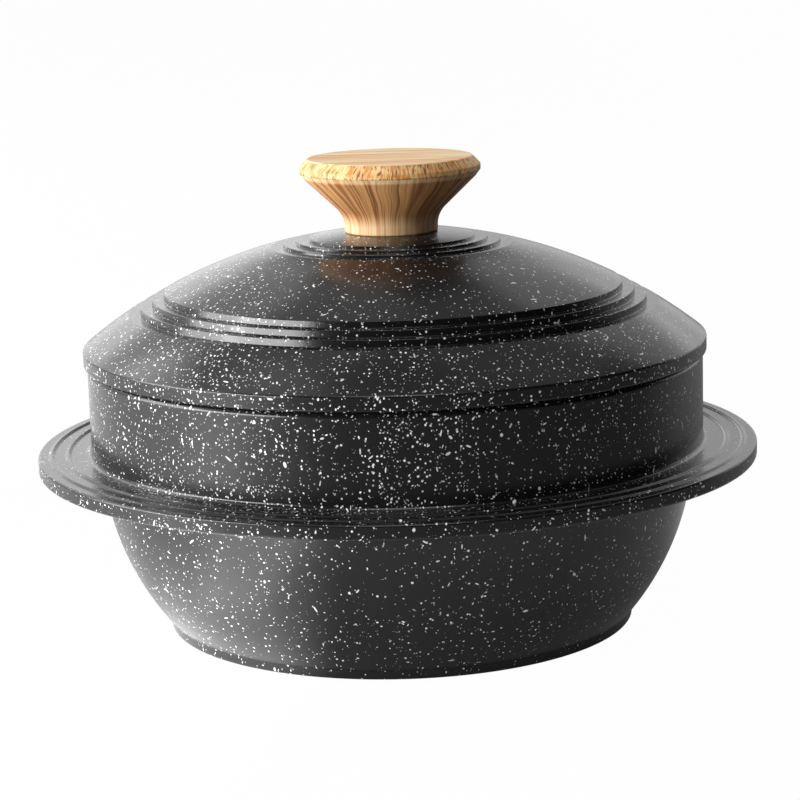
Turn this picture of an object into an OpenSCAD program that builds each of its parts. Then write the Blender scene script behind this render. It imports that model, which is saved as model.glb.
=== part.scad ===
// Round casserole with a wide grip flange, a domed lid with turned steps and a wooden knob.
// Units are millimetres. The origin is the middle of the base, and +Z is up.

/* [Pot] */
// Height of the rim above the table
pot_h = 109.3; // [100:0.1:125]
// Outer diameter of the upper wall
wall_d = 248; // [240:1:256]
// Thickness of the upper wall at the rim
wall_t = 6; // [5:0.5:8]
// Radius on the outer corner of the rim
rim_outer_round = 2.4; // [1:0.1:2.6]
// Radius on the inner corner of the rim
rim_inner_round = 1.6; // [0.5:0.1:1.8]
// Radius where the upper wall runs into the flange
wall_foot_round = 1.8; // [0.5:0.1:3]

/* [Bowl] */
// How far the top of the bowl sits in from the upper wall
bowl_in = 3.9; // [1:0.1:5]
// Radius of the curved side of the bowl
bowl_side_r = 107.6; // [100:0.2:115]
// Thickness of the curved side
bowl_t = 6; // [5:0.5:8]
// Diameter of the flat foot
foot_d = 189.2; // [180:0.2:194]
// Size of the worn corner under the foot
foot_corner = 0.8; // [0.4:0.1:2]
// Thickness of the floor
floor_t = 7; // [6:0.5:9]
// Radius between the floor and the side, inside
floor_round = 12; // [6:1:16]

/* [Flange] */
// Width of the grip flange, out from the upper wall
flange_w = 21.4; // [19:0.2:28]
// Height of the top of the flange above the table
flange_z = 73; // [66:0.5:80]
// Thickness of the flange
flange_t = 5.8; // [4.5:0.1:8]
// Radius on both edges of the flange
flange_round = 0.9; // [0.4:0.1:2]
// Radius where the bowl runs into the underside of the flange
flange_root_round = 2; // [1:0.5:4]
// Number of raised beads around the top of the flange
bead_count = 2; // [1:1:2]
// Distance from the edge of the flange in to the crest of the outer bead
bead_in = 5.4; // [3.5:0.1:6.5]
// Distance from one bead to the next
bead_pitch = 6.6; // [5:0.1:7]
// Width of a bead
bead_w = 3.2; // [2:0.1:4]
// Height of a bead above the flange
bead_h = 0.7; // [0.3:0.1:1]

/* [Lid] */
// How far the lid reaches out past the upper wall
lid_over = 1.5; // [0.5:0.1:6]
// Height of the upright edge of the lid
lip_h = 5.9; // [4:0.1:8]
// Radius on the lower corner of the edge of the lid
lip_round = 1; // [0.4:0.1:1.6]
// Size of the softened upper corner of the edge
lip_corner = 0.7; // [0.3:0.1:1.5]
// Radius of the dome
dome_r = 200.6; // [190:0.2:215]
// Thickness of the dome
lid_t = 5.5; // [4.5:0.5:7]
// Thickness of the middle of the lid, under the knob
lid_middle_t = 6.2; // [6:0.1:9]
// Diameter of the flat pad inside the middle of the lid
pad_d = 30; // [22:1:40]
// Gap between the locating ring and the inside of the pot
ring_clear = 1.5; // [0.5:0.1:3]
// How far the locating ring reaches down into the pot
ring_drop = 6; // [3:0.5:10]
// Thickness of the locating ring
ring_t = 4.5; // [3:0.5:7]
// Size of the softened corners of the locating ring
ring_corner = 1; // [0.4:0.1:1.4]
// Radius between the locating ring and the dome, inside
ring_round = 5; // [2:0.5:8]

/* [Turned steps in the lid] */
// Number of steps in each group
step_count = 3; // [1:1:3]
// Distance from the neck of the knob out to the steps around it
upper_step_out = 14.6; // [8:0.2:16]
// Width of one step around the knob
upper_step_w = 5.1; // [4:0.1:6]
// Distance from the edge of the lid in to the steps near it
lower_step_in = 19.1; // [14:0.1:24]
// Width of one step near the edge
lower_step_w = 4.8; // [4:0.1:5.2]
// How far a riser leans outwards on its way down
step_lean = 0.35; // [0.1:0.05:0.8]
// Size of the softened edge of a step
step_corner = 0.3; // [0.1:0.05:0.4]

/* [Knob] */
// Height of the knob
knob_h = 29.8; // [27:0.1:36]
// Largest diameter of the knob
knob_d = 72.6; // [70.6:0.2:84]
// Width of the sloping band round the top
knob_bevel_w = 3.3; // [1.5:0.1:6]
// Height of the sloping band round the top
knob_bevel_h = 3.4; // [2:0.1:4.5]
// Height of the upright band at the largest diameter
knob_land_h = 2.1; // [1:0.1:3]
// Height of the small slope under the upright band
knob_under_h = 2.3; // [1:0.1:3]
// Width of the small slope under the upright band
knob_under_w = 1.7; // [1:0.1:3]
// Diameter of the neck
knob_neck_d = 37.4; // [34:0.2:42]
// Height of the upright foot of the neck
knob_neck_h = 2; // [1.4:0.1:4]
// Radius between the neck and the cone
knob_neck_round = 11; // [6:0.5:13]
// Size of the softened lower corner of the neck
knob_foot_corner = 0.7; // [0.3:0.1:1.2]
// Radius on the edge of the flat top
knob_top_round = 0.8; // [0.3:0.1:1.4]

/* [Knob fastening] */
// Diameter of the screw
screw_d = 6; // [5:0.5:6.5]
// Length of thread inside the insert
thread_engaged = 10; // [6:0.5:12]
// Gap between the screw and the thread around it, on the diameter
thread_clear = 0.1; // [0.05:0.05:0.3]
// Gap between the screw and the hole in the lid, on the diameter
screw_hole_clear = 1; // [0.5:0.1:2]
// Diameter of the screw head
head_d = 12; // [10:0.5:14]
// Height of the screw head
head_h = 3.6; // [3:0.1:5]
// Width of the slot in the screw head
slot_w = 1.4; // [1:0.1:2]
// Depth of the slot in the screw head
slot_depth = 1.6; // [1:0.1:2.2]
// Diameter of the threaded insert
insert_d = 9; // [8.4:0.2:11]
// Length of the threaded insert
insert_h = 13; // [12.5:0.5:15]
// Free depth of the pocket above the insert
pocket_spare = 1.5; // [0.5:0.5:3]
// Diameter of the steel washer
washer_d = 16; // [15:0.5:20]
// Thickness of the steel washer
washer_t = 1.2; // [1:0.1:2]
// Diameter of the soft washer
soft_washer_d = 18; // [16:0.5:22]
// Thickness of the soft washer
soft_washer_t = 1.6; // [1:0.1:3]

/* [Hidden] */

$fn = 180;
small_fn = 48;
over = 1;

wall_r = wall_d / 2;
wall_in_r = wall_r - wall_t;
flange_r = wall_r + flange_w;
flange_low_z = flange_z - flange_t;
foot_r = foot_d / 2;

bowl_mid_r = wall_r - bowl_in - bowl_side_r;
bowl_in_side_r = bowl_side_r - bowl_t;
foot_h = flange_z - sqrt(pow(bowl_side_r, 2) - pow(foot_r - bowl_mid_r, 2));

lid_r = wall_r + lid_over;
lid_z = pot_h;
dome_mid_z = lid_z + lip_h - sqrt(pow(dome_r, 2) - pow(lid_r, 2));
ring_r = wall_in_r - ring_clear;
ring_in_r = ring_r - ring_t;
dome_in_r = dome_r - lid_t;

knob_z = dome_at(knob_neck_d / 2);
pad_z = knob_z - lid_middle_t;
soft_washer_z = pad_z - soft_washer_t;
washer_z = soft_washer_z - washer_t;
screw_l = washer_t + soft_washer_t + lid_middle_t + thread_engaged;
screw_hole_d = screw_d + screw_hole_clear;

// Points of an arc about [x, z], from angle a0 to angle a1
function arc(x, z, r, a0, a1, n) =
    [for (i = [0:n]) let (a = a0 + (a1 - a0) * i / n) [x + r * cos(a), z + r * sin(a)]];

// Height of the outside of the dome at a radius
function dome_at(r) = dome_mid_z + sqrt(pow(dome_r, 2) - pow(r, 2));

// The outside of the dome from radius r0 out to radius r1
function dome_run(r0, r1, n) =
    arc(0, dome_mid_z, dome_r, acos(r0 / dome_r), acos(r1 / dome_r), n);

// Level treads and leaning risers cut into the dome, from radius r0 outwards
function steps(r0, w) =
    [for (i = [0:step_count - 1]) let (r = r0 + i * w)
        each [[r - step_corner, i == 0 ? dome_at(r - step_corner) : dome_at(r)],
              [r, dome_at(r) - step_corner],
              [r + step_lean, dome_at(r + w)]]];

// A raised bead on the flange, its crest at radius r
function bead(r) =
    let (k = (pow(bead_w / 2, 2) + pow(bead_h, 2)) / (2 * bead_h), a = asin(bead_w / 2 / k))
        arc(r, flange_z + bead_h - k, k, 90 - a, 90 + a, 8);

// The beads from the outer one in towards the wall
function beads() =
    [for (i = [0:bead_count - 1]) each bead(flange_r - bead_in - i * bead_pitch)];

// The curved side of the bowl, from the foot up to the root of the flange
function bowl_outside() =
    let (r = flange_root_round,
         z = flange_low_z - r,
         x = bowl_mid_r + sqrt(pow(bowl_side_r + r, 2) - pow(flange_z - z, 2)),
         a = -asin((flange_z - z) / (bowl_side_r + r)))
        concat(arc(bowl_mid_r, flange_z, bowl_side_r,
                   -asin((flange_z - foot_h) / bowl_side_r), a, 28),
               arc(x, z, r, 180 + a, 90, 5));

// The inside of the bowl, from the level of the flange down to the floor
function bowl_inside() =
    let (rise = flange_z - floor_t - floor_round,
         reach = bowl_in_side_r - floor_round,
         a = -asin(rise / reach))
        concat(arc(bowl_mid_r, flange_z, bowl_in_side_r, 0, a, 28),
               arc(bowl_mid_r + reach * cos(a), floor_t + floor_round, floor_round, a, -90, 8));

// Pot: foot, bowl, flange and upper wall in one piece
module pot_body() {
    outline = concat(
        [[0, 0], [foot_r - foot_corner, 0], [foot_r, foot_corner]],
        bowl_outside(),
        arc(flange_r - flange_round, flange_low_z + flange_round, flange_round, -90, 0, 5),
        arc(flange_r - flange_round, flange_z - flange_round, flange_round, 0, 90, 5),
        beads(),
        arc(wall_r + wall_foot_round, flange_z + wall_foot_round, wall_foot_round, 270, 180, 6),
        arc(wall_r - rim_outer_round, pot_h - rim_outer_round, rim_outer_round, 0, 90, 7),
        arc(wall_in_r + rim_inner_round, pot_h - rim_inner_round, rim_inner_round, 90, 180, 6),
        bowl_inside(),
        [[0, floor_t]]);
    color("#3a393c") rotate_extrude() polygon(outline);
}

// Lid: dome with two groups of turned steps, and a ring that drops into the pot
module lid() {
    upper_r = knob_neck_d / 2 + upper_step_out;
    lower_r = lid_r - lower_step_in - step_count * lower_step_w;
    ring_low_z = lid_z - ring_drop;
    round_z = dome_mid_z + sqrt(pow(dome_in_r - ring_round, 2) - pow(ring_in_r - ring_round, 2));
    round_a = atan2(round_z - dome_mid_z, ring_in_r - ring_round);
    pad_a = acos(pad_d / 2 / dome_in_r);
    outline = concat(
        [[0, pad_z], [0, knob_z]],
        dome_run(knob_neck_d / 2, upper_r - step_corner, 6),
        steps(upper_r, upper_step_w),
        dome_run(upper_r + step_count * upper_step_w, lower_r - step_corner, 16),
        steps(lower_r, lower_step_w),
        dome_run(lid_r - lower_step_in, lid_r - lip_corner, 10),
        [[lid_r, lid_z + lip_h - lip_corner]],
        arc(lid_r - lip_round, lid_z + lip_round, lip_round, 0, -90, 4),
        [[ring_r, lid_z], [ring_r, ring_low_z + ring_corner], [ring_r - ring_corner, ring_low_z],
         [ring_in_r + ring_corner, ring_low_z], [ring_in_r, ring_low_z + ring_corner]],
        arc(ring_in_r - ring_round, round_z, ring_round, 0, round_a, 6),
        arc(0, dome_mid_z, dome_in_r, round_a, pad_a, 24),
        [[pad_d / 2, pad_z]]);
    color("#3a393c") difference() {
        rotate_extrude() polygon(outline);
        translate([0, 0, pad_z - over])
            cylinder(d = screw_hole_d, h = lid_middle_t + 2 * over, $fn = small_fn);
    }
}

// Knob: a turned piece of wood with a narrow neck, a cone and a bevelled flat top
module knob() {
    neck_r = knob_neck_d / 2;
    cone_r = knob_d / 2 - knob_under_w;
    cone_z = knob_h - knob_bevel_h - knob_land_h - knob_under_h;
    round_r = neck_r + knob_neck_round;
    reach = norm([cone_r - round_r, cone_z - knob_neck_h]);
    round_a = atan2(cone_z - knob_neck_h, cone_r - round_r) + acos(knob_neck_round / reach);
    top_r = knob_d / 2 - knob_bevel_w;
    outline = concat(
        [[0, 0], [neck_r - knob_foot_corner, 0], [neck_r, knob_foot_corner]],
        arc(round_r, knob_neck_h, knob_neck_round, 180, round_a, 12),
        [[cone_r, cone_z],
         [knob_d / 2, cone_z + knob_under_h],
         [knob_d / 2, knob_h - knob_bevel_h]],
        arc(top_r - knob_top_round, knob_h - knob_top_round, knob_top_round, 45, 90, 4),
        [[0, knob_h]]);
    color("#d9b27c") translate([0, 0, knob_z]) difference() {
        rotate_extrude() polygon(outline);
        translate([0, 0, -over])
            cylinder(d = insert_d, h = insert_h + pocket_spare + over, $fn = small_fn);
    }
}

// Threaded insert pressed into the foot of the knob
module knob_insert() {
    color("goldenrod") translate([0, 0, knob_z]) difference() {
        cylinder(d = insert_d, h = insert_h, $fn = small_fn);
        translate([0, 0, -over])
            cylinder(d = screw_d + thread_clear, h = insert_h + 2 * over, $fn = small_fn);
    }
}

// Slotted pan-head screw, put in from inside the lid
module knob_screw() {
    head_r = head_d / 2;
    head_round = head_h / 2;
    head_outline = concat(
        [[0, 0], [0, -head_h]],
        arc(head_r - head_round, head_round - head_h, head_round, -90, 0, 6),
        [[head_r, 0]]);
    color("silver") translate([0, 0, washer_z]) {
        cylinder(d = screw_d, h = screw_l, $fn = small_fn);
        difference() {
            rotate_extrude($fn = small_fn) polygon(head_outline);
            translate([-head_d / 2 - over, -slot_w / 2, -head_h - over])
                cube([head_d + 2 * over, slot_w, slot_depth + over]);
        }
    }
}

// A flat washer of diameter d and thickness t that the screw passes through
module flat_washer(d, t) {
    difference() {
        cylinder(d = d, h = t, $fn = small_fn);
        translate([0, 0, -over])
            cylinder(d = screw_hole_d, h = t + 2 * over, $fn = small_fn);
    }
}

// Steel washer under the screw head
module screw_washer() {
    color("lightgray") translate([0, 0, washer_z]) flat_washer(washer_d, washer_t);
}

// Soft washer between the steel washer and the lid
module soft_washer() {
    color("whitesmoke") translate([0, 0, soft_washer_z]) flat_washer(soft_washer_d, soft_washer_t);
}

pot_body();
lid();
knob();
knob_insert();
knob_screw();
screw_washer();
soft_washer();
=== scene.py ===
# %% [markdown]
# # A lidded casserole, dressed around a fixed frame
# The imported model holds every piece of the pot at its real size: the body with its grip flange,
# the lid, the wooden knob and the fastening inside it. This lesson turns smoother copies of the
# three big pieces, gives everything a finish, and sets up a camera and soft studio light.
# The frame is loaded first: the knob takes its height and place from it, and the hidden fastening
# keeps its shapes.

# %% Load the frame
import math

import bmesh
import bpy
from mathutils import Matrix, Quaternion, Vector


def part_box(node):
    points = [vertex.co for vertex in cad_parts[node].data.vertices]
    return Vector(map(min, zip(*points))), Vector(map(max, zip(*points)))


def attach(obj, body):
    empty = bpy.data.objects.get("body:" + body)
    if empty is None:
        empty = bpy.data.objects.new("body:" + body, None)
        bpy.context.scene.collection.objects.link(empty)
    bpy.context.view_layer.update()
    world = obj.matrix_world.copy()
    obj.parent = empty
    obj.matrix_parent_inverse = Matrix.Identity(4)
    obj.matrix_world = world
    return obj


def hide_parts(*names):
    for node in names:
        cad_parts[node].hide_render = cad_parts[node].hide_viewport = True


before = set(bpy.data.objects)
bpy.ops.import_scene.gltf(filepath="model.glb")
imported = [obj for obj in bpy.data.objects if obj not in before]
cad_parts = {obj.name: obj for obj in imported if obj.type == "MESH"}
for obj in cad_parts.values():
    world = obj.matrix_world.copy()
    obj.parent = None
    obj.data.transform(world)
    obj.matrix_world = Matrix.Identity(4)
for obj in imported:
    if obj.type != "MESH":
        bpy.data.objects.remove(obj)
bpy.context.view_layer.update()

MM = 0.001
knob_low, knob_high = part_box("knob")
print("pieces in the frame:", sorted(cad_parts))

# %% [markdown]
# ## The camera
# The picture was taken from a little above the rim with a long lens, so the ellipses are narrow
# and the sides hardly converge. The distance sets how much wider the near side looks than the far
# side. The lens then sets the size in the picture, and a small roll gives its slight lean.
# The camera looks at a point just above the flange, which places the pot in the picture.

# %% Camera
camera_distance = 1050 * MM
camera_elevation = math.radians(12.12)
camera_roll = math.radians(-1.6)
lens_mm = 115.74
sensor_mm = 36
flange_top = Vector((0, 0, 73 * MM))
aim_point = Vector((1.5 * MM, 0, 88.9 * MM))


def add_camera():
    data = bpy.data.cameras.new("studio camera")
    data.lens = lens_mm
    data.sensor_width = sensor_mm
    camera = bpy.data.objects.new("studio camera", data)
    bpy.context.scene.collection.objects.link(camera)
    away = Vector((0, -math.cos(camera_elevation), math.sin(camera_elevation)))
    camera.location = flange_top + camera_distance * away
    turn = (aim_point - camera.location).to_track_quat("-Z", "Y")
    camera.rotation_mode = "QUATERNION"
    camera.rotation_quaternion = turn @ Quaternion((0, 0, 1), camera_roll)
    bpy.context.scene.camera = camera
    return camera


camera = add_camera()
bpy.context.scene.view_settings.view_transform = "Standard"
print("camera at", [round(v, 3) for v in camera.location], "lens", lens_mm, "mm")

# %% [markdown]
# ## Wiring materials in code
# A material is a small network. Writing each link by hand is long, so one helper adds a node and
# fills its sockets: a socket is linked and a plain value is typed in. A second helper does sums.
# Every pattern starts from Object coordinates, so it sits still on the piece from any side.

# %% Helpers for material networks
def add(tree, kind, sockets=None, **settings):
    """Adds a node and fills its sockets, by name or number, with values or links."""
    node = tree.nodes.new("ShaderNode" + kind)
    for name, value in settings.items():
        setattr(node, name, value)
    for name, value in (sockets or {}).items():
        if isinstance(value, bpy.types.NodeSocket):
            tree.links.new(value, node.inputs[name])
        else:
            node.inputs[name].default_value = value
    return node


def sums(tree, operation, first, second=0.0):
    return add(tree, "Math", {0: first, 1: second}, operation=operation).outputs[0]


def product(tree, first, *others):
    for other in others:
        first = sums(tree, "MULTIPLY", first, other)
    return first


def vector_sums(tree, operation, first, second=(0, 0, 0)):
    node = add(tree, "VectorMath", {0: first, 1: second}, operation=operation)
    return node.outputs["Value" if operation == "LENGTH" else "Vector"]


def ramp(tree, value, low, high, to_low=0.0, to_high=1.0, smooth=True):
    """Turns a value's place between low and high into a number from to_low to to_high."""
    sockets = {"Value": value, "From Min": low, "From Max": high,
               "To Min": to_low, "To Max": to_high}
    kind = "SMOOTHSTEP" if smooth else "LINEAR"
    return add(tree, "MapRange", sockets, interpolation_type=kind).outputs["Result"]


def fade(tree, value, low, high):
    """Gives 1 up to low, and falls to 0 at high."""
    return ramp(tree, value, low, high, 1.0, 0.0)


def noise(tree, where, scale=1.0, detail=2.0, distortion=0.0):
    sockets = {"Vector": where, "Scale": scale, "Detail": detail, "Distortion": distortion}
    return add(tree, "TexNoise", sockets).outputs["Fac"]


def blend(tree, share, first, second):
    """Mixes two colours: the first where the share is 0, the second where it is 1."""
    node = add(tree, "Mix", data_type="RGBA")
    for name, value in (("Factor_Float", share), ("A_Color", first), ("B_Color", second)):
        socket = next(s for s in node.inputs if s.identifier == name)
        if isinstance(value, bpy.types.NodeSocket):
            tree.links.new(value, socket)
        else:
            socket.default_value = value
    return next(s for s in node.outputs if s.identifier == "Result_Color")


def shade(value):
    """A grey or a colour in screen values from 0 to 255, as the linear light it stands for."""
    parts = [value] * 3 if isinstance(value, (int, float)) else value
    parts = [p / 255 for p in parts]
    return (*[p / 12.92 if p < 0.04045 else ((p + 0.055) / 1.055) ** 2.4 for p in parts], 1.0)


def new_material(name, **shader_values):
    """A new material, with its network, its shader and its Object coordinates."""
    material = bpy.data.materials.new(name)
    material.use_nodes = True
    tree = material.node_tree
    shader = tree.nodes["Principled BSDF"]
    for socket, value in shader_values.items():
        shader.inputs[socket].default_value = value
    where = add(tree, "TexCoord").outputs["Object"]
    return material, tree, shader, where


print("a mid grey of 128 is", round(shade(128)[0], 3), "in linear light")

# %% [markdown]
# ## The dark speckled glaze
# The pot and lid share one finish: a charcoal satin glaze full of pale mineral flecks. Some are
# round dots and some are chips up to 3 mm long that lie at every angle. An image could show them,
# but it would stretch over a dome. Here space is cut into cells, each cell holds one small
# ellipsoid turned at random, and a fleck shows wherever the surface cuts one. The cuts come out
# in many sizes, as real flecks do, and they have the same size on every side of the pot.
# Flecks lie unevenly. They come in loose patches, and are fewer on the bowl, round the knob, on
# the flange and towards the two sides, so the share of cells that hold one follows the place.
# There are also more of them at the left than in the middle and at the right: partly the glaze's
# own unevenness, partly painted light on the lit left side.

# %% Kinds of fleck
full_turn = 6.28
seed_shift = (0.37, 0.11, 0.23)
fleck_sizes = (0.55, 1.25)
fleck_edge = (0.85, 1.08)
dim_flecks = 0.5
dimmest_fleck = 0.5
# Kind: cell in mm, half sizes of the ellipsoid in mm, share of cells, seed, strength
fleck_kinds = {
    "grains": (4.6, (1.15, 0.58, 0.50), 0.26, 4, 1.0),
    "chips": (2.3, (1.40, 0.33, 0.29), 0.50, 1, 1.0),
    "dots": (1.6, (0.46, 0.38, 0.34), 0.52, 2, 1.0),
    "dust": (1.1, (0.30, 0.24, 0.22), 0.55, 3, 0.55),
}


def flecks(tree, where, kind, amount):
    """Strength of one kind of fleck: 0 between the flecks, up to 1 in a bright one."""
    cell, half_sizes, share, seed, strength = fleck_kinds[kind]
    shifted = vector_sums(tree, "ADD", where, tuple(seed * part for part in seed_shift))
    cells = add(tree, "TexVoronoi", {"Vector": shifted, "Scale": 1 / (cell * MM)}).outputs
    chance = add(tree, "TexWhiteNoise", {"Vector": cells["Position"]}).outputs["Color"]
    offset = vector_sums(tree, "SUBTRACT", shifted, cells["Position"])
    angles = vector_sums(tree, "MULTIPLY", chance, (full_turn,) * 3)
    turned = add(tree, "VectorRotate", {"Vector": offset, "Rotation": angles},
                 rotation_type="EULER_XYZ").outputs["Vector"]
    scaled = vector_sums(tree, "DIVIDE", turned, tuple(half * MM for half in half_sizes))
    picks = add(tree, "SeparateColor", {0: cells["Color"]}).outputs
    size = ramp(tree, picks["Red"], 0, 1, *fleck_sizes, smooth=False)
    reach = sums(tree, "DIVIDE", vector_sums(tree, "LENGTH", scaled), size)
    present = sums(tree, "LESS_THAN", picks["Green"], product(tree, amount, share))
    bright = ramp(tree, picks["Blue"], 0, dim_flecks, dimmest_fleck, 1.0, smooth=False)
    return product(tree, fade(tree, reach, *fleck_edge), present, bright, strength)


print("kinds of fleck:", ", ".join(fleck_kinds))

# %% Where the flecks lie
patch_scale = 25.0
patch_range = (0.35, 0.65)
patch_amounts = (0.75, 1.2)
flange_start = (125.5 * MM, 129.0 * MM)
flange_end = (143.5 * MM, 145.0 * MM)
flange_amount = 0.45
# Way, from and to in mm, amount before and after
thinned_places = (
    ("up", 55, 70, 0.42, 0.9),
    ("up", 118, 145, 1.0, 0.6),
    # More flecks at the left than in the middle and at the right: partly real, partly painted light
    # on the lit left side.
    ("to the right", -80, 0, 1.2, 0.82),
    ("aside", 90, 125, 1.0, 0.6),
)


def fleck_amount(tree, where):
    """How thickly the flecks lie at each place."""
    place = add(tree, "SeparateXYZ", {0: where}).outputs
    ways = {"up": place["Z"], "to the right": place["X"],
            "aside": sums(tree, "ABSOLUTE", place["X"])}
    radius = vector_sums(tree, "LENGTH", vector_sums(tree, "MULTIPLY", where, (1, 1, 0)))
    on_flange = product(tree, ramp(tree, radius, *flange_start), fade(tree, radius, *flange_end))
    patches = noise(tree, where, patch_scale, 1.0)
    thinned = [ramp(tree, ways[way], low * MM, high * MM, before, after)
               for way, low, high, before, after in thinned_places]
    return product(tree, ramp(tree, patches, *patch_range, *patch_amounts), *thinned,
                   ramp(tree, on_flange, 0, 1, 1.0, flange_amount))


print("places with fewer flecks:", len(thinned_places) + 1)

# %% Speckled glaze
glaze_roughness = 0.22
body_shades = ((21, 20, 20), (27, 26, 27))
fleck_shades = ((254, 250, 246), (244, 248, 254))
body_cloud_scale = 60.0
fleck_tint_scale = 400.0
glaze_grain_scale = 900.0
fleck_relief = 0.6
glaze_relief = {"Strength": 0.25, "Distance": 0.1 * MM}


def speckled_glaze():
    material, tree, shader, where = new_material("speckled glaze", Roughness=glaze_roughness)
    amount = fleck_amount(tree, where)
    pale = 0.0
    for kind in fleck_kinds:
        pale = sums(tree, "MAXIMUM", pale, flecks(tree, where, kind, amount))
    body = blend(tree, noise(tree, where, body_cloud_scale, 3.0), *map(shade, body_shades))
    fleck = blend(tree, noise(tree, where, fleck_tint_scale, 1.0), *map(shade, fleck_shades))
    tree.links.new(blend(tree, pale, body, fleck), shader.inputs["Base Color"])
    grain = noise(tree, where, glaze_grain_scale, 2.0)
    relief = sums(tree, "ADD", grain, product(tree, pale, fleck_relief))
    bump = add(tree, "Bump", {"Height": relief, **glaze_relief})
    tree.links.new(bump.outputs["Normal"], shader.inputs["Normal"])
    return material


glaze = speckled_glaze()
print("glaze network has", len(glaze.node_tree.nodes), "nodes")

# %% [markdown]
# ## The turned wood
# The knob is turned from pale wood. On its flat top the grain runs almost straight across. On the
# cone it shows as streaks that draw together towards the neck, browner than the top. The band and
# bevel are cut across the fibres, so they show short golden dashes, above a thin dark line of
# painted shadow along the seam.
# Noise stretched along the fibres gives the top. On the sides such a noise would shear, so there
# it is read on a cylinder: the way round the axis and the height become a place in the noise, with
# far more change round the knob than up it. The streaks then wrap round the knob without a gap.

# %% Streaks wrapped round the knob
sway_scale = 35.0
sway_angle = 0.3
# Kind: change round the knob, change per mm of height, seed, detail, from and to of its ramp
streak_kinds = {
    "soft": (6.0, 0.012, 3.0, 2.0, 0.30, 0.70),
    "fine": (30.0, 0.03, 9.0, 3.0, 0.40, 0.58),
    "strong": (20.0, 0.02, 14.0, 2.0, 0.36, 0.43),
    "gold": (34.0, 0.30, 5.0, 2.0, 0.38, 0.60),
    "dark": (40.0, 0.35, 7.0, 2.0, 0.36, 0.43),
}


def wrapped_streaks(tree, up):
    """Each kind of streak, from 0 to 1, out of a noise wrapped round the knob's axis."""
    place = add(tree, "SeparateXYZ", {0: up}).outputs
    sway = sums(tree, "SUBTRACT", noise(tree, up, sway_scale, 1.0), 0.5)
    around = sums(tree, "ARCTAN2", place["X"], sums(tree, "MULTIPLY", place["Y"], -1.0))
    around = sums(tree, "ADD", around, product(tree, sway, sway_angle))
    cosine, sine = sums(tree, "COSINE", around), sums(tree, "SINE", around)
    level = sums(tree, "DIVIDE", place["Z"], MM)
    streaks = {}
    for kind, (per_turn, per_mm, seed, detail, low, high) in streak_kinds.items():
        ring = add(tree, "CombineXYZ", {"X": product(tree, cosine, per_turn),
                                        "Y": product(tree, sine, per_turn),
                                        "Z": product(tree, level, per_mm)})
        spot = vector_sums(tree, "ADD", ring.outputs[0], (seed,) * 3)
        streaks[kind] = ramp(tree, noise(tree, spot, 1.0, detail), low, high)
    return streaks


print("kinds of streak:", ", ".join(streak_kinds))

# %% Turned wood
wood_roughness = 0.5
neck_to_cone = (3.0 * MM, 9.0 * MM)
seam_height = 24.4 * MM
painted_seam_shadow_half_width = (0.12 * MM, 0.4 * MM)
pale_rim_start = (seam_height - 2.4 * MM, seam_height - 1.4 * MM)
band_start = (seam_height - 0.2 * MM, seam_height + 0.2 * MM)
top_start = (29.3 * MM, 29.6 * MM)
wood_shades = {
    "neck": ((226, 164, 108), (255, 228, 180)),
    "cone": ((134, 78, 40), (242, 182, 120)),
    "band": ((238, 156, 82), (255, 218, 152)),
    "top": ((244, 174, 102), (255, 234, 190)),
}
# The last of these shades is a painted shadow: the thin dark line along the seam under the band.
dash_shade, cloud_shade, painted_seam_shadow = (140, 78, 36), (196, 128, 70), (100, 56, 28)
top_grain_turn = math.radians(29)
top_grain_stretch = (12.0, 300.0, 300.0)
top_grain_range = (0.4, 0.6)
cloud_shares, pale_rim_share = (0.35, 0.0), 0.9
painted_seam_shadow_shares, painted_seam_shadow_on_gold = (0.8, 0.0), (0.9, 0.3)
streak_shares, gap_share = {"soft": 0.45, "fine": 0.55}, 0.25
wood_relief = {"Strength": 0.15, "Distance": 0.2 * MM}


def side_of_the_knob(tree, height, streaks, grain):
    """Colour of the neck, the cone and the band, with a painted shadow line at the seam between the
    last two.
    """
    neck = blend(tree, grain, *map(shade, wood_shades["neck"]))
    cone = blend(tree, grain, *map(shade, wood_shades["cone"]))
    band = blend(tree, streaks["gold"], *map(shade, wood_shades["band"]))
    band = blend(tree, streaks["dark"], shade(dash_shade), band)
    band = blend(tree, ramp(tree, streaks["soft"], 0, 1, *cloud_shares), band, shade(cloud_shade))
    pale_rim = product(tree, ramp(tree, height, *pale_rim_start), pale_rim_share)
    side = blend(tree, ramp(tree, height, *neck_to_cone), neck, cone)
    side = blend(tree, pale_rim, side, neck)
    side = blend(tree, ramp(tree, height, *band_start), side, band)
    # Painted shadow: a thin dark line along the seam, fainter where the golden dashes are.
    from_seam = sums(tree, "ABSOLUTE", sums(tree, "SUBTRACT", height, seam_height))
    painted_shadow_line = product(tree, ramp(tree, from_seam, *painted_seam_shadow_half_width, *painted_seam_shadow_shares),
                   ramp(tree, streaks["gold"], 0, 1, *painted_seam_shadow_on_gold))
    return blend(tree, painted_shadow_line, side, shade(painted_seam_shadow))


def top_of_the_knob(tree, up):
    flow = add(tree, "Mapping", {"Vector": up, "Rotation": (0, 0, top_grain_turn),
                                 "Scale": top_grain_stretch}).outputs[0]
    grain = ramp(tree, noise(tree, flow, detail=4.0, distortion=0.4), *top_grain_range)
    return blend(tree, grain, *map(shade, wood_shades["top"]))


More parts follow.
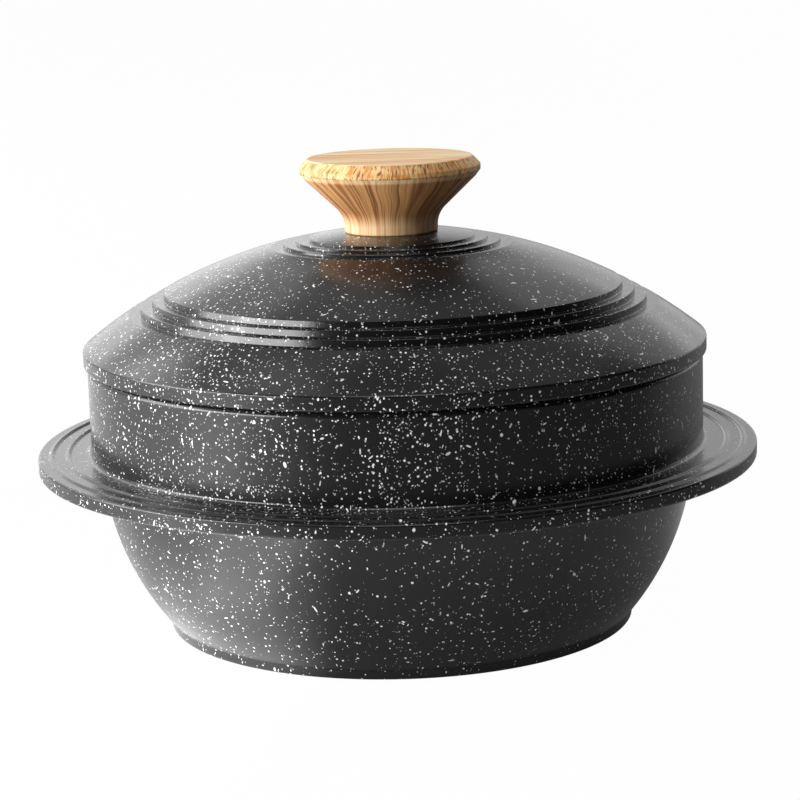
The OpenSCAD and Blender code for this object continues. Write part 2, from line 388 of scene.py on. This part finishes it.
def turned_wood():
    material, tree, shader, where = new_material("turned wood", Roughness=wood_roughness)
    up = vector_sums(tree, "SUBTRACT", where, (0, 0, knob_low.z))
    height = add(tree, "SeparateXYZ", {0: up}).outputs["Z"]
    streaks = wrapped_streaks(tree, up)
    soft, fine = (product(tree, streaks[kind], share) for kind, share in streak_shares.items())
    gaps = ramp(tree, streaks["strong"], 0, 1, gap_share, 1.0)
    grain = product(tree, sums(tree, "ADD", soft, fine), gaps)
    side = side_of_the_knob(tree, height, streaks, grain)
    colour = blend(tree, ramp(tree, height, *top_start), side, top_of_the_knob(tree, up))
    tree.links.new(colour, shader.inputs["Base Color"])
    bump = add(tree, "Bump", {"Height": grain, **wood_relief})
    tree.links.new(bump.outputs["Normal"], shader.inputs["Normal"])
    return material


wood = turned_wood()
print("wood network has", len(wood.node_tree.nodes), "nodes")

# %% [markdown]
# ## A lathe made of Geometry Nodes
# The pot, lid and knob were all turned, so each is one outline carried round an axis. The Screw
# modifier could do that, but a small tree of Geometry Nodes says it as a rule with named inputs,
# and the same tree serves all three. The outline is a chain of edges. The tree sweeps it along a
# guide circle, merges the points that meet on the axis, smooths it and hands it a material.
# Smooth shading averages the faces at each point, so beside a small rounding it would bend the
# light on a flat. Each long straight run therefore gets a holding point close to both its ends.

# %% The lathe
guide_radius = 100 * MM
holding_distance = 0.15
holding_turn = math.radians(1.5)
shortest_held_run = 5 * holding_distance
merge_distance = 0.001 * MM
crisp_angle = math.radians(32)


def lathe_tree():
    tree = bpy.data.node_groups.new("lathe", "GeometryNodeTree")
    for name, kind in (("Outline", "Geometry"), ("Facets around", "Int"), ("Guide radius", "Float"),
                       ("Material", "Material")):
        tree.interface.new_socket(name, in_out="INPUT", socket_type="NodeSocket" + kind)
    tree.interface.new_socket("Turned", in_out="OUTPUT", socket_type="NodeSocketGeometry")
    node = {kind: tree.nodes.new(kind) for kind in (
        "NodeGroupInput", "GeometryNodeMeshToCurve", "GeometryNodeCurvePrimitiveCircle",
        "GeometryNodeCurveToMesh", "GeometryNodeMergeByDistance", "GeometryNodeSetShadeSmooth",
        "GeometryNodeRealizeInstances", "GeometryNodeSetMaterial", "NodeGroupOutput")}
    node["GeometryNodeMergeByDistance"].inputs["Distance"].default_value = merge_distance
    for source, out, target, into in (
            ("NodeGroupInput", "Outline", "GeometryNodeMeshToCurve", "Mesh"),
            ("NodeGroupInput", "Facets around", "GeometryNodeCurvePrimitiveCircle", "Resolution"),
            ("NodeGroupInput", "Guide radius", "GeometryNodeCurvePrimitiveCircle", "Radius"),
            ("GeometryNodeCurvePrimitiveCircle", "Curve", "GeometryNodeCurveToMesh", "Curve"),
            ("GeometryNodeMeshToCurve", "Curve", "GeometryNodeCurveToMesh", "Profile Curve"),
            ("GeometryNodeCurveToMesh", "Mesh", "GeometryNodeMergeByDistance", "Geometry"),
            ("GeometryNodeMergeByDistance", "Geometry", "GeometryNodeSetShadeSmooth", "Geometry"),
            ("GeometryNodeSetShadeSmooth", "Geometry", "GeometryNodeRealizeInstances", "Geometry"),
            ("GeometryNodeRealizeInstances", "Geometry", "GeometryNodeSetMaterial", "Geometry"),
            ("NodeGroupInput", "Material", "GeometryNodeSetMaterial", "Material"),
            ("GeometryNodeSetMaterial", "Geometry", "NodeGroupOutput", "Turned")):
        tree.links.new(node[source].outputs[out], node[target].inputs[into])
    return tree


lathe = lathe_tree()


def with_holding_points(outline, closed):
    """Adds a point close to each end of a flat run, so that smooth shading keeps the flat flat."""
    points = [Vector(p) for p in outline]
    count = len(points)
    held = []
    for i, here in enumerate(points):
        held.append(here)
        if i == count - 1 and not closed:
            continue
        before, after, end = points[i - 1], points[(i + 1) % count], points[(i + 2) % count]
        run = after - here
        if run.length < shortest_held_run:
            continue
        step = run.normalized() * holding_distance
        if (closed or i > 0) and run.angle(here - before) > holding_turn:
            held.append(here + step)
        if (closed or i < count - 2) and run.angle(end - after) > holding_turn:
            held.append(after - step)
    return [tuple(p) for p in held]


def turn(name, outline, material, facets, closed=False):
    """Carries an outline of (radius, height) points in mm round the axis, as one plain mesh."""
    outline = with_holding_points(outline, closed)
    count = len(outline)
    edges = [(i, (i + 1) % count) for i in range(count if closed else count - 1)]
    blank = bpy.data.meshes.new(name + " outline")
    blank.from_pydata([(r * MM - guide_radius, -z * MM, 0) for r, z in outline], edges, [])
    tool = bpy.data.objects.new(name + " outline", blank)
    bpy.context.scene.collection.objects.link(tool)
    modifier = tool.modifiers.new("lathe", "NODES")
    modifier.node_group = lathe
    values = {"Facets around": facets, "Guide radius": guide_radius, "Material": material}
    for item in lathe.interface.items_tree:
        if item.name in values:
            modifier[item.identifier] = values[item.name]
    depsgraph = bpy.context.evaluated_depsgraph_get()
    mesh = bpy.data.meshes.new_from_object(tool.evaluated_get(depsgraph), depsgraph=depsgraph)
    bpy.data.objects.remove(tool)
    return finish_mesh(name, mesh)


def finish_mesh(name, mesh):
    """Merges doubled points, turns every face outwards and keeps the crisp edges crisp."""
    shape = bmesh.new()
    shape.from_mesh(mesh)
    bmesh.ops.remove_doubles(shape, verts=shape.verts, dist=merge_distance)
    bmesh.ops.recalc_face_normals(shape, faces=shape.faces)
    open_edges = sum(1 for e in shape.edges if not e.is_manifold)
    shape.to_mesh(mesh)
    shape.free()
    mesh.shade_smooth()
    mesh.set_sharp_from_angle(angle=crisp_angle)
    mesh.name = name
    piece = bpy.data.objects.new(name, mesh)
    bpy.context.scene.collection.objects.link(piece)
    print(name, "has", len(mesh.polygons), "faces and", open_edges, "open edges")
    return piece


print("lathe tree has", len(lathe.nodes), "nodes")

# %% [markdown]
# ## Drawing an outline
# A turner's drawing is a row of corners with a radius on each, joined by lines and arcs. Two
# helpers draw it the same way: one gives the points of an arc, and the other takes corners as
# (radius, height, rounding) and replaces each with a short arc that touches both of its sides.

# %% Outline helpers
def arc(r, z, size, start, end, count):
    angles = [math.radians(start + (end - start) * i / count) for i in range(count + 1)]
    return [(r + size * math.cos(a), z + size * math.sin(a)) for a in angles]


def softened(corners, count=6):
    """Corners (radius, height) or (radius, height, rounding), each rounding drawn as an arc."""
    points = []
    for i, corner in enumerate(corners):
        here = Vector(corner[:2])
        if len(corner) < 3:
            points.append(tuple(here))
            continue
        before = (Vector(corners[i - 1][:2]) - here).normalized()
        after = (Vector(corners[(i + 1) % len(corners)][:2]) - here).normalized()
        half = before.angle(after) / 2
        start = here + before * corner[2] / math.tan(half)
        end = here + after * corner[2] / math.tan(half)
        middle = here + (before + after).normalized() * corner[2] / math.sin(half)
        first, last = (start - middle).normalized(), (end - middle).normalized()
        for k in range(count + 1):
            points.append(tuple(middle + corner[2] * first.slerp(last, k / count)))
    return points


print("a softened right angle has", len(softened([(0, 0), (1, 0, 0.2), (1, 1)])), "points")

# %% [markdown]
# ## The pot
# The body is one thrown piece: a flat foot, a round bowl, a level flange to lift it by and an
# upright wall that the lid sits on. Two fine beads run round the top of the flange. Its outline is
# drawn from the foot outwards and up, over the rim, and back down the inside to the middle.

# %% Pot body
wall_r = 124.0
wall_thickness = 6.0
wall_foot_round = 1.8
rim_z = 109.3
rim_outer_round = 2.4
rim_inner_round = 1.6
flange_r = 145.4
flange_z = 73.0
flange_thickness = 5.8
flange_round = 0.9
flange_root_round = 2.0
foot_r = 94.6
foot_round = 0.8
bowl_curve_r = 107.6
bowl_curve_in = 12.5
floor_z = 7.0
floor_round = 12.0
bead_radii = (140.0, 133.4)
bead_width = 3.2
bead_height = 0.7


def bead(r, count=12):
    """A low round bead on top of the flange, from its outer side to its inner side."""
    across = [1 - 2 * i / count for i in range(count + 1)]
    return [(r + s * bead_width / 2, flange_z + bead_height * (0.5 + 0.5 * math.cos(math.pi * s)))
            for s in across]


def pot_outline():
    inside_r = wall_r - wall_thickness
    foot_z = flange_z - math.sqrt(bowl_curve_r ** 2 - (foot_r - bowl_curve_in) ** 2)
    foot_angle = math.degrees(math.asin((foot_z - flange_z) / bowl_curve_r))
    root = flange_root_round
    under_z = flange_z - flange_thickness
    root_angle = math.degrees(math.asin((under_z - root - flange_z) / (bowl_curve_r + root)))
    root_r = bowl_curve_in + (bowl_curve_r + root) * math.cos(math.radians(root_angle))
    hollow_r = bowl_curve_r - wall_thickness
    floor_rise = flange_z - floor_z - floor_round
    floor_angle = -math.degrees(math.asin(floor_rise / (hollow_r - floor_round)))
    floor_r = bowl_curve_in + (hollow_r - floor_round) * math.cos(math.radians(floor_angle))
    return (
        softened([(0, 0), (foot_r, 0, foot_round), (foot_r, foot_z)])[:-1]
        + arc(bowl_curve_in, flange_z, bowl_curve_r, foot_angle, root_angle, 60)
        + arc(root_r, under_z - root, root, 180 + root_angle, 90, 8)[1:]
        + softened([(root_r, under_z), (flange_r, under_z, flange_round),
                    (flange_r, flange_z, flange_round), (bead_radii[0], flange_z)])[1:-1]
        + [point for r in bead_radii for point in bead(r)]
        + arc(wall_r + wall_foot_round, flange_z + wall_foot_round, wall_foot_round, 270, 180, 8)
        + softened([(wall_r, flange_z), (wall_r, rim_z, rim_outer_round),
                    (inside_r, rim_z, rim_inner_round), (inside_r, flange_z)], 8)[1:-1]
        + arc(bowl_curve_in, flange_z, hollow_r, 0, floor_angle, 48)
        + arc(floor_r, floor_z + floor_round, floor_round, floor_angle, -90, 12)[1:]
        + [(0, floor_z)])


pot = turn("pot", pot_outline(), glaze, 256)

# %% [markdown]
# ## The lid
# The lid is a low dome, part of a large sphere. What takes skill is the two groups of turned
# steps: each tread is level and each riser nearly upright, and both are cut into the dome, so
# together they keep its line. A short upright edge ends the dome, and a ring below it drops into
# the pot. The steps are worked out from the sphere, so they can't drift off it.

# %% Lid
lid_r = 125.5
lip_height = 5.9
lip_top_round = 1.2
lip_low_round = 1.0
dome_size = 200.6
dome_thickness = 5.5
dome_middle_z = rim_z + lip_height - math.sqrt(dome_size ** 2 - lid_r ** 2)
neck_r = 18.7
step_groups = ((33.3, 5.1), (92.0, 4.8))
steps_in_group = 3
riser_lean = 0.35
riser_top_round = 0.3
riser_foot_round = 0.2
run_gap = 1.0
ring_clearance = 1.5
ring_thickness = 4.5
ring_drop = 6.0
ring_seat_round = 0.4
ring_round = 1.0
ring_cove = 5.0
screw_hole_r = 3.5
pad_r = 15.0
pad_thickness = 6.2


def dome_z(r):
    return dome_middle_z + math.sqrt(dome_size ** 2 - r ** 2)


def dome_run(start_r, end_r, count):
    radii = [start_r + (end_r - start_r) * i / count for i in range(count + 1)]
    return [(r, dome_z(r)) for r in radii]


def turned_steps(first_r, tread):
    """Corners of the risers and treads of one group, each tread level with the dome at its end."""
    corners = [(first_r - run_gap, dome_z(first_r - run_gap))]
    for i in range(steps_in_group):
        r = first_r + i * tread
        top = dome_z(first_r) if i == 0 else corners[-1][1]
        low = dome_z(r + tread)
        corners += [(r, top, riser_top_round), (r + riser_lean, low, riser_foot_round)]
    end_r = first_r + steps_in_group * tread
    return softened(corners + [(end_r, dome_z(end_r))], 4)[1:-1]


def group_end(group):
    return group[0] + steps_in_group * group[1]


def lid_outline():
    seat_z = dome_z(neck_r)
    pad_z = seat_z - pad_thickness
    hollow = dome_size - dome_thickness
    ring_r = wall_r - wall_thickness - ring_clearance
    ring_in_r = ring_r - ring_thickness
    ring_z = rim_z - ring_drop
    cove_z = dome_middle_z + math.sqrt((hollow - ring_cove) ** 2 - (ring_in_r - ring_cove) ** 2)
    cove_angle = math.degrees(math.atan2(cove_z - dome_middle_z, ring_in_r - ring_cove))
    pad_angle = math.degrees(math.acos(pad_r / hollow))
    upper, lower = step_groups
    top = ([(screw_hole_r, seat_z)]
           + dome_run(neck_r, upper[0] - run_gap, 10) + turned_steps(*upper)
           + dome_run(group_end(upper), lower[0] - run_gap, 36) + turned_steps(*lower)
           + dome_run(group_end(lower), lid_r - 0.5, 16))
    edge = softened([top[-1], (lid_r, dome_z(lid_r), lip_top_round), (lid_r, rim_z, lip_low_round),
                     (ring_r, rim_z, ring_seat_round), (ring_r, ring_z, ring_round),
                     (ring_in_r, ring_z, ring_round), (ring_in_r, cove_z)])[1:-1]
    return (top + edge
            + arc(ring_in_r - ring_cove, cove_z, ring_cove, 0, cove_angle, 8)
            + arc(0, dome_middle_z, hollow, cove_angle, pad_angle, 48)[1:]
            + [(pad_r, pad_z), (screw_hole_r, pad_z)])


lid = turn("lid_dome", lid_outline(), glaze, 256, closed=True)

# %% [markdown]
# ## The knob
# The knob has a narrow neck, a hollow curve that opens into a cone, a small slope, an upright band
# and a bevelled flat top. The dark line under the band is painted shadow in the wood's colour, not
# a groove in the shape.
# Underneath is the pocket for the threaded insert, which the frame's own pieces fill.

# %% Knob
knob_r = 36.3
knob_top_r = 33.0
knob_height = (knob_high.z - knob_low.z) / MM
cone_r = 34.6
cone_height = knob_height - 7.8
rim_slope_height = 2.3
bevel_height = 3.4
neck_curve = 11.0
neck_curve_z = 2.0
neck_foot_round = 0.7
slope_round = 0.4
bevel_low_round = 0.6
bevel_top_round = 0.8
pocket_r, pocket_height = 4.5, 14.5


def knob_outline():
    base = knob_low.z / MM
    curve_r = neck_r + neck_curve
    to_rim = Vector((cone_r - curve_r, cone_height - neck_curve_z))
    end_angle = math.degrees(math.atan2(to_rim.y, to_rim.x) + math.acos(neck_curve / to_rim.length))
    shape = (
        [(0, pocket_height), (pocket_r, pocket_height), (pocket_r, 0)]
        + softened([(pocket_r, 0), (neck_r, 0, neck_foot_round), (neck_r, neck_curve_z)])[1:-1]
        + arc(curve_r, neck_curve_z, neck_curve, 180, end_angle, 24)
        + softened([(curve_r, neck_curve_z), (cone_r, cone_height, slope_round),
                    (knob_r, cone_height + rim_slope_height, slope_round),
                    (knob_r, knob_height - bevel_height, bevel_low_round),
                    (knob_top_r, knob_height, bevel_top_round), (0, knob_height)])[1:])
    return [(r, z + base) for r, z in shape]


knob = turn("turned_knob", knob_outline(), wood, 224)

# %% [markdown]
# ## The fastening inside the knob
# A brass insert, a steel screw and two washers hold the knob on. They are out of sight in a closed
# pot and keep the frame's own shapes. Each gets a plain finish with a little wear: fine turning
# marks on the metals, and a faint cloudiness in the soft washer.

# %% Hidden fastening
turning_marks = (300.0, 300.0, 9000.0)
washer_cloud_scale = 250.0


def turned_metal(name, dark, light, roughness):
    material, tree, shader, where = new_material(name, Metallic=1.0, Roughness=roughness)
    marks = add(tree, "Mapping", {"Vector": where, "Scale": turning_marks}).outputs[0]
    colour = blend(tree, noise(tree, marks), shade(dark), shade(light))
    tree.links.new(colour, shader.inputs["Base Color"])
    return material


def soft_washer_finish():
    material, tree, shader, where = new_material("washer silicone", Roughness=0.6)
    cloud = noise(tree, where, washer_cloud_scale)
    colour = blend(tree, cloud, shade((224, 224, 220)), shade((236, 236, 234)))
    tree.links.new(colour, shader.inputs["Base Color"])
    return material


screw_steel = turned_metal("screw steel", (168, 168, 170), (206, 206, 208), 0.34)
fastening = {"knob_insert": turned_metal("insert brass", (176, 136, 64), (218, 180, 104), 0.3),
             "knob_screw": screw_steel, "screw_washer": screw_steel,
             "soft_washer": soft_washer_finish()}
for node_name, material in fastening.items():
    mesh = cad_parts[node_name].data
    mesh.materials.clear()
    mesh.materials.append(material)
print("finished", len(fastening), "hidden pieces")

# %% [markdown]
# ## Joining the pieces to the frame
# Each turned piece stands for one piece of the frame, which is hidden, and rides on the only body.

# %% Tie the pieces to the frame
for piece, node_name, slot_name in ((pot, "pot_body", "speckled_glaze"),
                                    (lid, "lid", "speckled_glaze"),
                                    (knob, "knob", "turned_wood")):
    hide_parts(node_name)
    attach(piece, "root")
print("tied", pot.name, lid.name, knob.name)

# %% [markdown]
# ## Floor, world and lamps
# The picture has a clean white background, but the glaze mirrors a dim room in front of the pot.
# So rays from the camera, and rays through glass, see the world and most of the floor as white,
# glossy rays see the white backdrop only behind the pot, and all others see a dim world. The
# floor keeps a trace of the pot's shadow.
# In the picture the lamps at the left light the floor beside the pot, and the bowl and the wall
# mirror it. Here the floor glows there for every ray but the camera's. The glow is a sum of zones,
# each with a distance from the pot and a range of directions, counted in degrees to the left of
# the camera.

# %% Glow of the floor
# Zone: strengths that are added between two directions, in degrees to the left
glow_zones = (
    ("close", (14, 36, 1.55), (60, 95, -1.1), (100, 135, -0.45)),
    ("distant", (35, 60, 0.95), (85, 100, -0.45), (150, 175, -0.5)),
    ("near ring", (52, 66, -1.5)),
    ("far ring", (44, 56, 1.5), (66, 80, -1.5)),
)
near_ring_start = (30, 42, 0.0, 1.5)
near_ring_skew = (0.13, 0.23, 0.0, 10.0)
close_to_distant = (0.3, 0.4)
near_ring_inner = (0.105, 0.14)
far_ring_outer = (0.55, 0.65)
under_glow = (0.2, 0.32, 0.1, 0.0)
back_right_glow = (0.3, 0.5, 0.0, 0.14)
back_right_start = (0.0, 0.2)
painted_shade_until = (20.0, 50.0)


def floor_light(tree, on_floor):
    """Strength of the floor's glow, and the painted shade that darkens the far floor, at each place
    on it.
    """
    place = add(tree, "SeparateXYZ", {0: on_floor}).outputs
    to_left, to_camera = (sums(tree, "MULTIPLY", place[axis], -1.0) for axis in "XY")
    leftward = product(tree, sums(tree, "ARCTAN2", to_left, to_camera), 180 / math.pi)
    away = vector_sums(tree, "LENGTH", on_floor)
    zones = {"close": fade(tree, away, *close_to_distant),
             "distant": ramp(tree, away, *close_to_distant)}
    zones["near ring"] = product(tree, zones["close"], ramp(tree, away, *near_ring_inner))
    zones["far ring"] = product(tree, zones["distant"], fade(tree, away, *far_ring_outer))
    skewed = sums(tree, "ADD", leftward, ramp(tree, away, *near_ring_skew, smooth=False))
    glow = sums(tree, "ADD", ramp(tree, away, *under_glow),
                product(tree, zones["near ring"], ramp(tree, skewed, *near_ring_start)))
    for name, *steps in glow_zones:
        for start, end, change in steps:
            added = product(tree, zones[name], ramp(tree, leftward, start, end, 0.0, change))
            glow = sums(tree, "ADD", glow, added)
    back_right = product(tree, ramp(tree, place["X"], *back_right_glow),
                         ramp(tree, place["Y"], *back_right_start))
    # Painted shade: the far floor is darker everywhere but towards the left, for the dim room in
    # front.
    far_floor_painted_shade = product(tree, zones["distant"], fade(tree, leftward, *painted_shade_until))
    return sums(tree, "ADD", glow, back_right), far_floor_painted_shade


print("zones of the floor's glow:", len(glow_zones) + 2)

# %% Floor and world
floor_size = 16.0
floor_roughness = 0.9
# The second tone is painted shade on the far floor, everywhere but towards the left.
floor_shade, painted_shade_floor_tone = 205, 140
white_share = 0.985
room_shade = 12
backdrop_start = (0.3, 0.7)
backdrop_top = (0.3, 0.42)


def make_floor():
    bpy.ops.mesh.primitive_plane_add(size=floor_size)
    floor = bpy.context.object
    floor.name = "studio_floor"
    material, tree, shader, on_floor = new_material("pale floor", Roughness=floor_roughness)
    strength, far_floor_painted_shade = floor_light(tree, on_floor)
    base = blend(tree, far_floor_painted_shade, shade(floor_shade), shade(painted_shade_floor_tone))
    tree.links.new(base, shader.inputs["Base Color"])
    glow = add(tree, "Emission", {"Strength": strength}).outputs[0]
    lit = add(tree, "AddShader", {0: shader.outputs[0], 1: glow}).outputs[0]
    white = add(tree, "Emission", {"Strength": 1.0}).outputs[0]
    rays = add(tree, "LightPath").outputs
    seen = sums(tree, "MAXIMUM", rays["Is Camera Ray"], rays["Is Transmission Ray"])
    mixed = add(tree, "MixShader", {0: product(tree, seen, white_share), 1: lit, 2: white})
    tree.links.new(mixed.outputs[0], tree.nodes["Material Output"].inputs["Surface"])
    floor.data.materials.append(material)
    return floor


def make_world():
    world = bpy.data.worlds.new("studio world")
    bpy.context.scene.world = world
    world.use_nodes = True
    tree = world.node_tree
    tree.nodes.clear()
    rays = add(tree, "LightPath").outputs
    way = add(tree, "SeparateXYZ", {0: add(tree, "TexCoord").outputs["Generated"]}).outputs
    behind = product(tree, ramp(tree, way["Y"], *backdrop_start),
                     fade(tree, way["Z"], *backdrop_top))
    seen = sums(tree, "MAXIMUM", rays["Is Camera Ray"], rays["Is Transmission Ray"])
    seen = sums(tree, "MAXIMUM", seen, product(tree, rays["Is Glossy Ray"], behind))
    colour = blend(tree, seen, shade(room_shade), shade(255))
    backdrop = add(tree, "Background", {"Color": colour, "Strength": 1.0})
    add(tree, "OutputWorld", {"Surface": backdrop.outputs[0]})
    return world


print("made", make_floor().name, "and", make_world().name)

# %% [markdown]
# A glossy pot shows its lamps, so each tone on it tells where one stands. A low disc and a low,
# wide strip at the left draw the pale left side and the bright risers of the steps. Weaker discs
# stand round and above the pot: those behind draw its thin left and right edges, and the high ones
# light the treads and the top of the knob. Discs have no corners, so no hard edge is mirrored.

# %% Lamps
lamp_distance = 2.5
lamp_width = 1.53
lamp_aim = Vector((0, 0, 80 * MM))
# Name, degrees round from the camera to the right, degrees up, watts, and the size of the strip
lamp_rows = (
    ("left softbox", 270, 6, 50),
    ("left front strip", 300, 5, 47, 1.75, 0.65),
    ("high front", 0, 60, 16),
    ("left high", 270, 32, 11.5),
    ("left top", 270, 60, 6.5),
    ("back left", 240, 32, 13.5),
    ("behind left low", 198, 6, 3.8),
    ("behind left", 210, 32, 6.2),
    ("behind left high", 210, 60, 3.3),
    ("behind right", 150, 32, 4.8),
    ("behind right high", 140, 60, 1.9),
    ("right high", 90, 60, 1.0),
    ("overhead", 0, 90, 1.5),
)


def add_lamp(name, azimuth, elevation, watts, width=lamp_width, height=None):
    """A soft disc, or a strip where a height is given, that faces the pot from a distance."""
    data = bpy.data.lights.new(name, "AREA")
    data.shape = "RECTANGLE" if height else "DISK"
    data.size = width
    data.size_y = height or width
    data.energy = watts
    lamp = bpy.data.objects.new(name, data)
    bpy.context.scene.collection.objects.link(lamp)
    a, e = math.radians(azimuth), math.radians(elevation)
    way = Vector((math.sin(a) * math.cos(e), -math.cos(a) * math.cos(e), math.sin(e)))
    lamp.location = way * lamp_distance + lamp_aim
    lamp.rotation_mode = "QUATERNION"
    lamp.rotation_quaternion = (-way).to_track_quat("-Z", "Y")
    return lamp


lamps = [add_lamp(*row) for row in lamp_rows]
print("lamps:", {lamp.name: round(lamp.data.energy, 1) for lamp in lamps})
